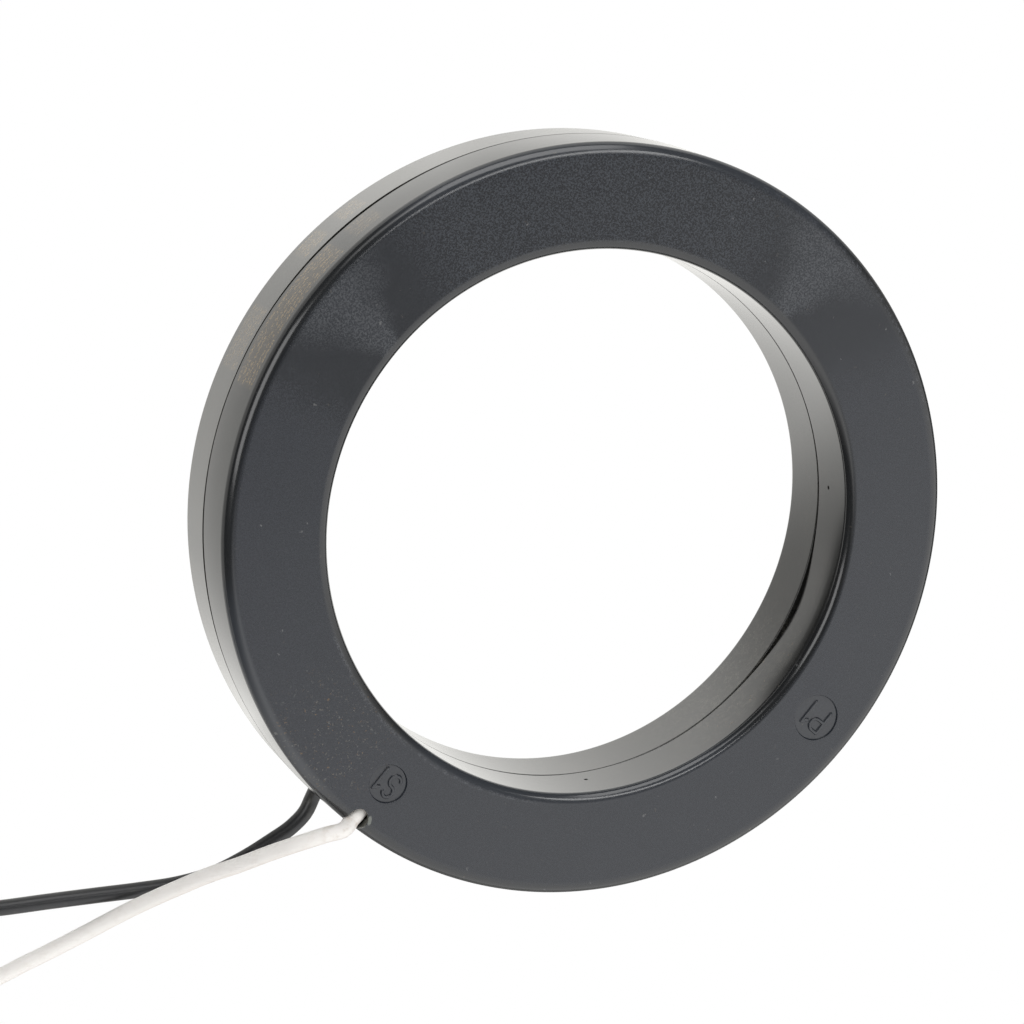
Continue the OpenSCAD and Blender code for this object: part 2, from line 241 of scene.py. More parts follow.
# Places and patterns that the layers of the moulding's finish share
class CaseMap:
    def __init__(self, n):
        self.at = object_mm(n)
        self.x, self.y, self.z = n.xyz(self.at)
        self.r = (self.x * self.x + self.y * self.y) ** 0.5
        degrees = n.node("ShaderNodeMath", operation="ARCTAN2", ins=(self.y, self.x)) * (180.0 / math.pi)
        self.turn = degrees + 360.0 * n.node("ShaderNodeMath", operation="LESS_THAN", ins=(degrees, 0.0))
        self.cloud = n.noise(self.at, 0.045, 3.0, 0.55)
        self.blotch = n.noise(self.at, 0.16, 4.0, 0.6)
        self.grain = n.noise(self.at, 2.7, 2.0, 0.7)
        self.pores = n.noise(self.at, 0.9, 3.0, 0.6)
        self.on_face = self.r.step(56.1, 57.4) * (1.0 - self.r.step(73.1, 74.8)) * self.z.step(27.3, 27.9)
        self.outer = self.r.step(75.0, 75.4)
        # Turns where the grain is coarser and its painted glints are strongest
        self.glinting_grain = self.turn.band(88.0, 188.0, 14.0)
        self.dusty_side = self.turn.step(330.0, 345.0) + (1.0 - self.turn.step(4.0, 22.0))
        self.below_edge = 1.0 - self.z.step(23.0, 25.5)


# Grained face with painted glints on the grain peaks, and two painted highlights as radial fans, each between
# shoulders of painted shade
def face_layer(n, c):
    peaks = c.grain.step(0.42, 0.61)
    # Painted glints: the grain is coloured light at its peaks and darker between them, most on the coarser
    # side
    painted_glint = n.mix(peaks, rgb(0.0002, 0.001, 0.004), rgb(0.034, 0.0395, 0.0485))
    pale = n.mix(peaks, rgb(0.026, 0.030, 0.038), rgb(0.104, 0.110, 0.120))
    color = n.mix(c.cloud, rgb(0.0150, 0.0180, 0.0252), rgb(0.0198, 0.0230, 0.0310))
    color = n.mix(0.20 + 0.72 * c.glinting_grain, color, painted_glint)
    fan_size = (c.r - 53.0) * (1.0 / 23.0)
    wavy = c.turn + 8.0 * (c.blotch - 0.5)
    # Each fan is a painted highlight laid over a wider shoulder of painted shade
    for middle, width, shoulder, depth in ((88.0, 12.0, 84.0, 0.70), (179.5, 10.0, 180.0, 0.88)):
        shoulder_shade = depth * (1.0 - abs(wavy - shoulder).step(8.0, 22.0))
        off = abs(wavy - middle) / (fan_size * width + 1.0)
        color = n.mix(shoulder_shade, color, rgb(0.003, 0.005, 0.009))
        color = n.mix(0.50 * (1.0 - off.step(0.1, 1.25)), color, pale)
    # Pale flecks on the pores are painted glints
    return n.mix(c.pores.step(0.60, 0.80) * 0.22, color, rgb(0.060, 0.062, 0.066))


# Polished walls with dust, thickest on one side of the bore, and painted sheen that lightens the rear half;
# painted shade of two sink marks, and painted sheen that lifts parts of the edges paler
def wall_layer(n, c):
    dusty = n.noise(c.at, 0.11, 3.0, 0.6).step(0.42, 0.72) * (0.3 + 0.7 * c.pores.step(0.4, 0.7))
    rear_half = 1.0 - c.z.step(13.9, 14.4)
    in_bore = 0.30 * c.dusty_side * c.pores.step(0.45, 0.65) * c.below_edge + 0.12 * rear_half
    # Real dust, plus painted sheen that lightens the rear half in the dust colour
    dust_and_sheen = 0.20 * dusty * (0.3 + 0.7 * c.below_edge) + 0.30 * c.outer * rear_half + (1.0 - c.outer) * in_bore
    wall = n.mix(dust_and_sheen.min(0.9), rgb(0.0090, 0.0092, 0.0090), rgb(0.115, 0.108, 0.090))
    # Painted shade of two sink marks, as upright bands on the rear half of the outer wall
    sink_mark_shade = c.turn.band(137.0, 139.0, 3.0) + c.turn.band(223.0, 225.0, 3.0)
    sink_mark_shade = sink_mark_shade * c.outer * (1.0 - c.z.step(13.0, 14.0))
    wall = n.mix(sink_mark_shade * 0.6, wall, rgb(0.006, 0.006, 0.006))
    # Painted sheen: parts of the rim and of the bore edge are lifted to a paler bluish grey
    on_rim = c.r.step(64.0, 66.0)
    rim = 0.22 + 0.78 * (c.turn.band(95.0, 158.0, 14.0) + c.turn.band(234.0, 256.0, 12.0))
    bore_edge = 0.18 + 0.82 * c.turn.band(276.0, 338.0, 16.0)
    edge_sheen = on_rim * rim + (1.0 - on_rim) * bore_edge
    return n.mix(edge_sheen * c.z.step(26.4, 27.2), wall, rgb(0.039, 0.043, 0.050)), dust_and_sheen


# Paler floors of the mark pads, and worn lines where the face meets its edges, painted pale as a highlight
# where they catch light
def worn_and_glinting_spots(n, c, color):
    for px, py, size, text, height in PADS:
        pad = 1.0 - away_from(c.x, c.y, px, py).step(size / 2 - 0.2, size / 2)
        color = n.mix(pad * c.z.step(27.0, 28.0) * 0.3, color, rgb(0.055, 0.058, 0.062))
    # Worn edge lines, painted pale as a highlight
    scuff_glint = c.r.band(74.3, 74.7, 0.4) * c.turn.band(62.0, 98.0, 12.0) \
        + c.r.band(56.7, 57.0, 0.4) * c.turn.band(245.0, 292.0, 12.0)
    broken = c.z.step(27.0, 27.4) * c.grain.step(0.38, 0.62) * c.pores.step(0.40, 0.60)
    return n.mix(scuff_glint * broken * 0.7, color, rgb(0.085, 0.090, 0.102))


# Tan and white specks, thickest on the face beside the leads
def specks(n, c, color):
    warp = n.vector("SCALE", {0: n.noise(c.at, 1.4, 2.0, 0.5, out="Color"), "Scale": 1.5})
    bent = n.vector("ADD", (c.at, warp))
    near_lead = 1.0 - away_from(c.x, c.y, -16.0, -66.0).step(3.0, 19.0)
    in_bore = c.dusty_side * (1.0 - c.outer) * c.below_edge * c.z.step(14.5, 15.5)
    for scale, size, tint, amount in (
            (1.0, 0.27, rgb(0.17, 0.17, 0.16), near_lead), (1.8, 0.40, rgb(0.12, 0.11, 0.095), near_lead),
            (1.5, 0.32, rgb(0.20, 0.12, 0.05), near_lead * 0.7), (0.30, 0.10, rgb(0.16, 0.16, 0.16), 0.7),
            (0.55, 0.13, rgb(0.15, 0.125, 0.095), 0.5), (1.1, 0.30, rgb(0.20, 0.13, 0.06), in_bore * 0.7)):
        pick, size_of, much = n.xyz(n.cells(bent, scale, out="Color"))
        reach = size * (0.5 + 0.7 * size_of)
        speck = (1.0 - (n.cells(bent, scale) / reach).step(0.45, 1.0)) * pick.step(0.60, 0.64)
        color = n.mix(speck * amount * (0.25 + 0.7 * much), color, tint)
    return color


# Pale residue beside the front lead exit, and painted light on the wall inside the exit, fading to painted
# shade deeper down
def exit_marks(n, c, color):
    ax, ay = c.x - 2.1, c.y + EXIT_R - 1.1
    across, along = ay * 0.866 - ax * 0.5, (ax * 0.866 + ay * 0.5) * 2.3
    stain = (across ** 2.0 + along ** 2.0) ** 0.5 + 0.7 * (c.pores - 0.5)
    color = n.mix((1.0 - stain.step(0.7, 1.2)) * c.z.step(26.0, 27.8) * 0.85, color, rgb(0.17, 0.18, 0.16))
    # Painted light inside the exit, lighter towards the top of the hole
    recess_light = 1.0 - away_from(c.x, c.y, 0.0, -EXIT_R).step(2.15, 2.4)
    inside = c.z.step(24.5, 28.0) * (1.0 - c.z.step(28.3, 28.5))
    return n.mix(recess_light * inside * 0.9, color, rgb(0.15, 0.15, 0.135))


# Fields of faint dots on the outer wall: turns, heights, softness and strength
DOT_FIELDS = ((174.0, 197.0, 16.0, 25.2, 0.4, 1.0), (166.0, 170.0, 16.0, 24.0, 0.5, 0.6),
              (165.5, 168.5, 3.5, 11.0, 0.5, 1.0), (172.5, 176.5, 3.5, 11.0, 0.5, 1.0),
              (187.0, 196.0, 4.0, 12.5, 0.5, 0.8))


# Rows of faint brown dots across the outer wall
def dot_rows(n, c, color):
    along = c.turn * (CASE_R * math.pi / 180.0)
    row = c.z * 0.62
    dots = 1.0 - n.cells(n.join(along, c.z, 0.0), 1.7).step(0.36, 0.60)
    lines = n.node("ShaderNodeMath", operation="FRACT", ins=(row,)).band(0.25, 0.75, 0.12)
    count = n.node("ShaderNodeMath", operation="FLOOR", ins=(row,))
    runs = n.noise(n.join(along, count * 9.0, 0.0), 0.5, 1.0).step(0.36, 0.44)
    field = 0.0
    for start, end, low, high, soft_edge, much in DOT_FIELDS:
        field = field + much * c.turn.band(start, end, 1.0) * c.z.band(low, high, soft_edge)
    amount = c.outer * field.min(1.0) * (0.16 + 0.84 * lines * runs * dots)
    return n.mix(amount * 0.8, color, rgb(0.26, 0.175, 0.075))


# Black moulding: polished walls and edges, and a grained face with a thin layer of dust; the layers also
# paint glints, sheen and shade
def case_finish():
    m, n = material("satin_black_moulding")
    c = CaseMap(n)
    wall, dust_and_sheen = wall_layer(n, c)
    color = n.mix(1.0 - c.on_face, face_layer(n, c), wall)
    for layer in (worn_and_glinting_spots, specks, exit_marks, dot_rows):
        color = layer(n, c, color)
    rough = 0.15 + 0.04 * c.cloud + 0.10 * dust_and_sheen + c.on_face * (0.06 + 0.04 * c.blotch)
    normal = n.bump(c.grain * c.on_face * (0.25 + 0.75 * c.glinting_grain), 0.30, 0.00004)
    normal = n.bump(c.pores, 0.03, 0.00006, normal)
    surface(n, color=color, rough=rough, normal=normal, ior=1.6)
    return m


# Lead insulation, soiled by handling; the side turned from the light is tinted in the dirt colour as painted
# shade, by the amount given
def lead_finish(name, clean, soil_and_shade, rough, dirt, ripple, painted_shade, ior):
    m, n = material(name)
    at = object_mm(n)
    x, y, z = n.xyz(at)
    cloud = n.noise(at, 0.12, 3.0, 0.6)
    smear = n.noise(at, 0.45, 4.0, 0.6)
    near_case = 1.0 - away_from(x, y, 0.0, LEAD_Y).step(1.0, 11.0)
    handled = smear.step(0.50, 0.78) * (0.2 + 0.8 * cloud) * dirt
    amount = handled + near_case * smear.step(0.46, 0.66) * dirt * 1.6
    color = n.mix(amount.min(0.9), clean, soil_and_shade)
    nx, ny, nz = n.xyz(n.node("ShaderNodeNewGeometry", out="Normal"))
    # Painted shade: the side turned from the light takes the dirt colour
    color = n.mix((0.62 * nx - 0.74 * ny - 0.25 * nz).step(0.1, 0.95) * painted_shade, color, soil_and_shade)
    normal = n.bump(n.noise(at, 0.6, 1.0, 0.5), ripple, 0.00005)
    surface(n, color=color, rough=rough + 0.12 * cloud, normal=normal, ior=ior)
    return m


def metal_finish(name, color, shade_color, rough, scale):
    m, n = material(name)
    streak = n.noise(n.vector("MULTIPLY", (object_mm(n), scale)), 1.0, 4.0, 0.6)
    surface(n, color=n.mix(streak.step(0.35, 0.7), color, shade_color), rough=rough + 0.2 * streak, metal=1.0,
            normal=n.bump(streak, 0.1, 0.00005))
    return m


def film_finish(name, color, shade_color, rough, scale):
    m, n = material(name)
    at = object_mm(n)
    weave = n.noise(at, scale, 3.0, 0.6)
    patch = n.noise(at, 0.12, 3.0, 0.5)
    surface(n, color=n.mix((weave * 0.5 + patch * 0.5).step(0.35, 0.65), color, shade_color),
            rough=rough + 0.15 * patch, normal=n.bump(weave, 0.15, 0.00005))
    return m


CASE = case_finish()
WHITE = lead_finish("off_white_insulation", clean=rgb(0.95, 0.922, 0.885), soil_and_shade=rgb(0.56, 0.46, 0.37),
                    rough=0.48, dirt=0.22, ripple=0.06, painted_shade=0.42, ior=1.33)
BLACK = lead_finish("black_insulation", clean=rgb(0.0200, 0.0205, 0.0220), soil_and_shade=rgb(0.055, 0.053, 0.047),
                    rough=0.30, dirt=0.6, ripple=0.10, painted_shade=0.0, ior=1.5)
STRANDS = metal_finish("tinned_strands", rgb(0.62, 0.57, 0.50), rgb(0.72, 0.60, 0.46), 0.26, (2.0, 2.0, 2.0))
TIE = film_finish("natural_nylon", rgb(0.66, 0.66, 0.63), rgb(0.55, 0.54, 0.50), 0.38, 1.3)
CRIMP = metal_finish("crimp_tin", rgb(0.60, 0.60, 0.60), rgb(0.45, 0.45, 0.45), 0.3, (1.0, 4.0, 4.0))
SLEEVE = film_finish("sleeve_film", rgb(0.72, 0.68, 0.56), rgb(0.62, 0.57, 0.45), 0.35, 1.5)
INSIDE = {
    "core": metal_finish("core_steel", rgb(0.40, 0.41, 0.43), rgb(0.30, 0.31, 0.33), 0.35, (0.3, 0.3, 6.0)),
    "core_tape": film_finish("core_wrap", rgb(0.60, 0.53, 0.36), rgb(0.48, 0.42, 0.28), 0.55, 3.0),
    "secondary_winding": metal_finish("enamelled_copper", rgb(0.50, 0.20, 0.07), rgb(0.38, 0.14, 0.05), 0.25,
                                      (0.6, 0.6, 0.6)),
    "winding_tape": film_finish("outer_wrap", rgb(0.30, 0.21, 0.05), rgb(0.22, 0.15, 0.035), 0.30, 1.2),
    "white_splice": CRIMP,
    "black_splice": CRIMP,
    "white_splice_sleeve": SLEEVE,
    "black_splice_sleeve": SLEEVE,
}


# Smooth shading that stays sharp across edges steeper than the given angle
def shade(mesh, angle):
    bm = bmesh.new()
    bm.from_mesh(mesh)
    bmesh.ops.recalc_face_normals(bm, faces=bm.faces)
    limit = math.radians(angle)
    for f in bm.faces:
        f.smooth = True
    for e in bm.edges:
        e.smooth = len(e.link_faces) == 2 and e.calc_face_angle(0.0) < limit
    bm.to_mesh(mesh)
    bm.free()


def in_metres(points):
    return [tuple(float(c) * MM for c in p) for p in points]


# A piece from points in millimetres
def build(name, verts, faces, mat, smooth=35.0):
    mesh = bpy.data.meshes.new(name)
    mesh.from_pydata(in_metres(verts), [], faces)
    mesh.materials.append(mat)
    shade(mesh, smooth)
    return add(name, mesh)


# Quads between rings of points that follow each other; a closed run joins the last ring to the first
def ring_faces(rings, sides, closed):
    faces = []
    for i in range(rings if closed else rings - 1):
        j = (i + 1) % rings
        for s in range(sides):
            t = (s + 1) % sides
            faces.append((i * sides + s, i * sides + t, j * sides + t, j * sides + s))
    return faces


# The two end faces of a run of rings
def end_faces(rings, sides):
    return [tuple(reversed(range(sides))), tuple(range((rings - 1) * sides, rings * sides))]


# One object from several, which it replaces
def join(name, objs):
    bm = bmesh.new()
    for o in objs:
        bm.from_mesh(o.data)
    mesh = bpy.data.meshes.new(name)
    bm.to_mesh(mesh)
    bm.free()
    mesh.materials.append(objs[0].data.materials[0])
    obj = add(name, mesh)
    for o in objs:
        bpy.data.objects.remove(o)
    return obj


# Applies the modifiers of an object and leaves it a plain mesh
def settle(obj, angle):
    obj.data = bpy.data.meshes.new_from_object(obj.evaluated_get(bpy.context.evaluated_depsgraph_get()))
    obj.modifiers.clear()
    shade(obj.data, angle)


# Cuts the tools out of an object and removes them
def cut(obj, tools):
    for t in tools:
        mod = obj.modifiers.new(t.name, "BOOLEAN")
        mod.operation, mod.solver, mod.object = "DIFFERENCE", "EXACT", t
    settle(obj, 35.0)
    for t in tools:
        bpy.data.objects.remove(t)


# Puts a finished piece on the one body and hides the nodes that it stands for; slot is not used
def dress(obj, slot, *nodes):
    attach(obj, "root")
    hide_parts(*nodes)


def arc(cx, cz, rx, rz, a, b, steps):
    turns = [math.radians(a + (b - a) * i / steps) for i in range(steps + 1)]
    return [(cx + rx * math.cos(t), cz + rz * math.sin(t)) for t in turns]


# Extra points just inside both ends of each straight run, so that shading stays flat there
def hold_flats(points, near=0.12):
    out = []
    for i, p in enumerate(points):
        q = points[(i + 1) % len(points)]
        out.append(p)
        run = math.dist(p, q)
        if run > 4 * near:
            for t in (near / run, 1 - near / run):
                out.append((p[0] + (q[0] - p[0]) * t, p[1] + (q[1] - p[1]) * t))
    return out


# Section of one half of the case, with heights from the seam
def half_profile(lip):
    slope = math.degrees(math.atan2(DRAFT, HALF_H))
    rim_z = HALF_H - RIM_R
    length = math.hypot(DRAFT, HALF_H)
    rim_x = CASE_R - DRAFT * rim_z / HALF_H - RIM_R * length / HALF_H
    top = HALF_H - FACE_T
    inner, outer = WINDOW_R + WALL, FACE_R - WALL
    pts = [(WINDOW_R + 0.9, 0.0), (WINDOW_R + 0.85, GROOVE_H)]
    pts += arc(WINDOW_R + lip, GROOVE_H + 0.02 + lip, lip, lip, 270, 180, 4)
    pts += [(WINDOW_R, LIP_H + (WALL_TOP - LIP_H) * i / 6) for i in range(1, 6)]
    pts += arc(WINDOW_R + WINDOW_EDGE_W, WALL_TOP, WINDOW_EDGE_W, WINDOW_EDGE_R, 180, 90, 14)
    pts += arc(rim_x + RIM_R - RIM_W, rim_z, RIM_W, RIM_R, 90, slope, 16)
    pts += [(CASE_R - DRAFT * LIP_H / HALF_H, LIP_H), (CASE_R - 0.08, GROOVE_H + 0.02),
            (CASE_R - 0.85, GROOVE_H), (CASE_R - 0.9, 0.0), (outer, 0.0)]
    pts += arc(outer - CAVITY_R, top - CAVITY_R, CAVITY_R, CAVITY_R, 0, 90, 4)
    pts += arc(inner + CAVITY_R, top - CAVITY_R, CAVITY_R, CAVITY_R, 90, 180, 4)
    pts += [(inner, 0.0)]
    return hold_flats(pts)


def ease(u):
    return u * u * (3 - 2 * u)


def swell(deg, middle, width):
    return math.exp(-(((deg - middle + 180) % 360 - 180) / width) ** 2)


# How far the seam stands open at an angle in degrees: a wandering line, wider at two places on the outside
def seam_open(deg, outside):
    wander = 0.11 + 0.09 * math.sin(math.radians(3 * deg + 40)) * math.sin(math.radians(7 * deg + 10)) \
        + 0.05 * math.sin(math.radians(11 * deg))
    return wander + outside * (0.9 * swell(deg, 166.0, 18.0) + 0.6 * swell(deg, 224.0, 13.0))


# A point of the bore wall or its edge, moved where the wall has sprung back from the seam
def sprung_point(r, z, spring):
    on_bore = r < WINDOW_R + WINDOW_EDGE_W + 0.2 and (z > WALL_TOP - 0.01 or r < WINDOW_R + 0.95)
    if on_bore and z < WALL_TOP:
        r += 0.75 * spring * (1 - z / WALL_TOP) ** 1.5
        z += 0.3 * spring * (z > 0) * max(0.0, 1 - z / SEAM_REACH)
        z -= 0.4 * WINDOW_EDGE_R * spring * ease(max(0.0, (z - SEAM_REACH) / (WALL_TOP - SEAM_REACH)))
    elif on_bore:
        r = WINDOW_R + (r - WINDOW_R) * (1 + 0.05 * spring)
        z = HALF_H - (HALF_H - z) * (1 + 0.4 * spring)
    return r, z


# Turns one half of the case; a lifted half stands off the seam and has its bore wall sprung at one place
def lathe(name, profile, count, z_of, lifted):
    verts = []
    for i in range(count):
        deg = 360.0 * i / count
        a = math.radians(deg)
        spring = swell(deg, 16.0, 14.0) if lifted else 0.0
        for r, z in profile:
            r, z = sprung_point(r, z, spring)
            if lifted and z > 0:
                z += seam_open(deg, r > 65.0) * max(0.0, 1 - z / SEAM_REACH)
            verts.append((r * math.cos(a), r * math.sin(a), z_of(z)))
    return build(name, verts, ring_faces(count, len(profile), True), CASE)


def circle(r, count):
    turns = [2 * math.pi * i / count for i in range(count)]
    return [(r * math.cos(t), r * math.sin(t)) for t in turns]


# An upright round cutter
def cylinder(name, x, y, z0, z1, r, count=96):
    verts = [(x + px, y + py, z) for z in (z0, z1) for px, py in circle(r, count)]
    return build(name, verts, ring_faces(2, count, False) + end_faces(2, count), CASE)


# Cutter for a shallow round pin mark in the bore wall
def pin_tool(deg, count=20):
    a = math.radians(deg)
    verts = []
    for reach in (WINDOW_R - 1.0, WINDOW_R + PIN_DEPTH):
        for u, v in circle(PIN_R, count):
            x, y = math.cos(a) * reach - math.sin(a) * u, math.sin(a) * reach + math.cos(a) * u
            verts.append((x, y, PIN_Z + v))
    return build("pin_tool", verts, ring_faces(2, count, False) + end_faces(2, count), CASE)


# Where a lead comes out, where its tail starts and the way between; a side of -1 is white and 1 is black
def lead_exit(side):
    out = Vector((side * REACH * math.tan(YAW), LEAD_Y, WHITE_OUT_Z if side < 0 else BLACK_OUT_Z))
    start = out - TAIL_RUN * Vector((side * math.sin(YAW), -math.cos(YAW), 0.0))
    start.z = CASE_H - TAIL_Z if side < 0 else TAIL_Z
    return out, start, (out - start).normalized()


# Cutter for the square passage of a lead
def slot_tool(side):
    out, start, way = lead_exit(side)
    w = SLOT_W / 2
    flat = math.atan2(way.y, way.x)
    across = Vector((-math.sin(flat), math.cos(flat), 0.0))
    upward = way.cross(across)
    corners = [(-w, -w), (w, -w), (w, w), (-w, w)]
    verts = [start + across * a + upward * b + way * l for l in (0.0, 2 * TAIL_RUN + 1.8) for a, b in corners]
    return build("slot_tool", verts, ring_faces(2, 4, False) + end_faces(2, 4), CASE)


# Distance from points to a stroke, given as a chain of points
def stroke_distance(px, py, chain):
    best = np.full(px.shape, 1e9)
    for (ax, ay), (bx, by) in zip(chain[:-1], chain[1:]):
        dx, dy = bx - ax, by - ay
        t = np.clip(((px - ax) * dx + (py - ay) * dy) / (dx * dx + dy * dy), 0, 1)
        best = np.minimum(best, np.hypot(px - ax - t * dx, py - ay - t * dy))
    return best


def soft(v, a, b):
    return ease(np.clip((v - a) / (b - a), 0, 1))


def bow(cx, cy, rx, ry, a, b, count):
    return [(cx + rx * math.cos(t), cy + ry * math.sin(t)) for t in np.linspace(a, b, count)]


# Strokes of the terminal marks, on a height of 1
GLYPHS = {
    "P": [(-0.25, -0.5), (-0.25, 0.5), (0.02, 0.5)]
    + bow(0.02, 0.25, 0.25, 0.25, math.pi / 2, -math.pi / 2, 11) + [(-0.25, 0.0)],
    "S": bow(0.0, 0.255, 0.22, 0.245, 0.5, 1.5 * math.pi, 16)
    + bow(0.0, -0.245, 0.24, 0.255, 0.5 * math.pi, -math.pi + 0.5, 16),
    "1": [(-0.16, 0.3), (0.02, 0.5), (0.02, -0.5)],
}
GLYPH_PLACES = (-0.22, 0.40)


# A round pad sunk in the face, with a raised mark on it
def mark_pad(cx, cy, pad_d, text, height, cols=224):
    edge = pad_d / 2
    rim = edge + np.array((-0.12, -0.08, -0.04, 0.0, 0.04, 0.08, 0.12, PAD_MARGIN))
    steps = np.concatenate([np.linspace(0, edge - 0.16, 64)[1:], rim])
    rr, aa = np.meshgrid(steps, np.linspace(0, 2 * np.pi, cols, endpoint=False), indexing="ij")
    px, py = rr * np.cos(aa), rr * np.sin(aa)
    # Along the reading direction and up the letters
    ux, uy = math.cos(MARK_LEAN), math.sin(MARK_LEAN)
    lx, ly = (px * ux + py * uy) / height, (-px * uy + py * ux) / height
    near = np.full(px.shape, 1e9)
    for letter, place in zip(text, GLYPH_PLACES):
        near = np.minimum(near, stroke_distance(lx - place, ly, GLYPHS[letter]))
    raised = 1 - soft(near * height, 0.18, 0.42)
    depth = PAD_DEPTH * (1 - soft(rr, edge - 0.14, edge + 0.09))
    hz = CASE_H - depth * (1 - 0.92 * raised)
    verts = [(cx + a, cy + b, c) for a, b, c in zip(px.ravel(), py.ravel(), hz.ravel())]
    middle = len(verts)
    verts.append((cx, cy, CASE_H - PAD_DEPTH))
    faces = [(middle, i, (i + 1) % cols) for i in range(cols)] + ring_faces(len(steps), cols, False)
    return build("mark_disc", verts, faces, CASE)


def make_case():
    segments = 420
    front = lathe("front_case_cut", half_profile(FRONT_LIP_R), segments, lambda z: HALF_H + z, True)
    rear = lathe("rear_case", half_profile(REAR_LIP_R), segments, lambda z: HALF_H - z, False)
    tools = [cylinder("hole_tool", 0, -EXIT_R, CASE_H - EXIT_DEPTH, CASE_H + 1, EXIT_D / 2), slot_tool(-1)]
    for x, y, size, text, height in PADS:
        tools.append(cylinder("pad_tool", x, y, CASE_H - 0.9, CASE_H + 1, size / 2 + PAD_MARGIN, 112))
    tools += [pin_tool(turn) for turn in PIN_TURNS]
    cut(front, tools)
    cut(rear, [cylinder("hole_tool", 0, -EXIT_R, -1, EXIT_DEPTH, EXIT_D / 2), slot_tool(1)])
    front = join("front_case", [front] + [mark_pad(*pad) for pad in PADS])
    dress(front, "case_plastic", "front_shell")
    dress(rear, "case_plastic", "rear_shell")


# Routes of the leads from their exits: across, along and a share of the exit's height
WHITE_POINTS = [
    (-1, -2.25, 1.074), (-3.6, -5.25, 1.099), (-6, -9.05, 1.068), (-8.2, -14.85, 0.92), (-9.8, -20.75, 0.746),
    (-11.8, -26.75, 0.573), (-13.3, -32.45, 0.424), (-14.9, -38.05, 0.296), (-16.6, -44.25, 0.174),
    (-18.8, -51.05, 0.092), (-22, -58.45, 0), (-24.7, -63.75, 0), (-27.7, -69.75, 0), (-31.8, -75.65, 0)]
BLACK_POINTS = [
    (1.1, -2.25, 0), (2, -5.55, 0), (1.7, -9.55, 0), (0.1, -14.65, 0), (-2.2, -20.75, 0), (-5.5, -27.25, 0),
    (-10, -32.95, 0), (-15.5, -38.35, 0), (-22, -44.35, 0), (-29.1, -50.95, 0), (-36.3, -57.75, 0),
    (-42, -62.85, 0)]


def unit(v):
    v = np.array(v, float)
    return v / np.linalg.norm(v)


# A smooth curve through points, with given directions at its two ends
def spline(points, first, last, step=0.8):
    p = [np.array(q, float) for q in points]
    n = len(p)
    ways = [unit(first)]
    for i in range(1, n - 1):
        a, b = np.linalg.norm(p[i] - p[i - 1]), np.linalg.norm(p[i + 1] - p[i])
        ways.append(unit((p[i] - p[i - 1]) / a * b + (p[i + 1] - p[i]) / b * a))
    ways.append(unit(last))
    out = [p[0]]
    for i in range(n - 1):
        span = np.linalg.norm(p[i + 1] - p[i])
        k = max(2, int(round(span / step)))
        for j in range(1, k + 1):
            u = j / k
            out.append((2 * u ** 3 - 3 * u ** 2 + 1) * p[i] + (u ** 3 - 2 * u ** 2 + u) * span * ways[i]
                       + (-2 * u ** 3 + 3 * u ** 2) * p[i + 1] + (u ** 3 - u ** 2) * span * ways[i + 1])
    return out


# Turns of a coil by the angle wound so far: three side by side inwards, then two in the grooves outwards
def coil_turns(centre, entry, wind, total):
    low, window, close = TIE_T + LEAD_R, 60.0, LEAD_D + 0.04
    count = int(total / 3)
    out = []
    for i in range(1, count + 1):
        phi = total * i / count
        turn, part = int(phi // 360), phi % 360
        s = ease(max(0.0, (part - (360 - window)) / window))
        r, z = COIL_MID + LEAD_D * (1 - turn - s), low
        if turn == 2 and s > 0:
            swing = math.radians(180 - 120 * s)
            r = COIL_MID - LEAD_D * s + close * math.cos(swing)
            z = low + close * math.sin(swing)
        elif turn == 3:
            r, z = COIL_MID - LEAD_R + LEAD_D * s, low + ROW_RISE + 0.45 * math.sin(2 * math.pi * s) ** 2
        elif turn == 4:
            r, z = COIL_MID + LEAD_R, low + ROW_RISE
        a = math.radians(entry + wind * phi)
        out.append(np.array((centre[0] + r * math.cos(a), centre[1] + r * math.sin(a), z)))
    return out


# The same path with points at even steps
def resample(points, step):
    p = np.array(points)
    s = np.concatenate([[0], np.cumsum(np.linalg.norm(np.diff(p, axis=0), axis=1))])
    t = np.linspace(0, s[-1], max(2, int(round(s[-1] / step))) + 1)
    return np.stack([np.interp(t, s, p[:, i]) for i in range(3)], axis=1)


# A round tube along points, with the sections carried along without twist
def tube(name, points, radius, sides, mat):
    p = np.array(points)
    t = np.gradient(p, axis=0)
    t /= np.linalg.norm(t, axis=1)[:, None]
    u = unit(np.cross(t[0], (0, 0, 1.0)))
    verts = []
    for i in range(len(p)):
        u = unit(u - t[i] * u.dot(t[i]))
        v = np.cross(t[i], u)
        verts += [p[i] + a * u + b * v for a, b in circle(radius, sides)]
    return build(name, verts, ring_faces(len(p), sides, False) + end_faces(len(p), sides), mat, 40.0)


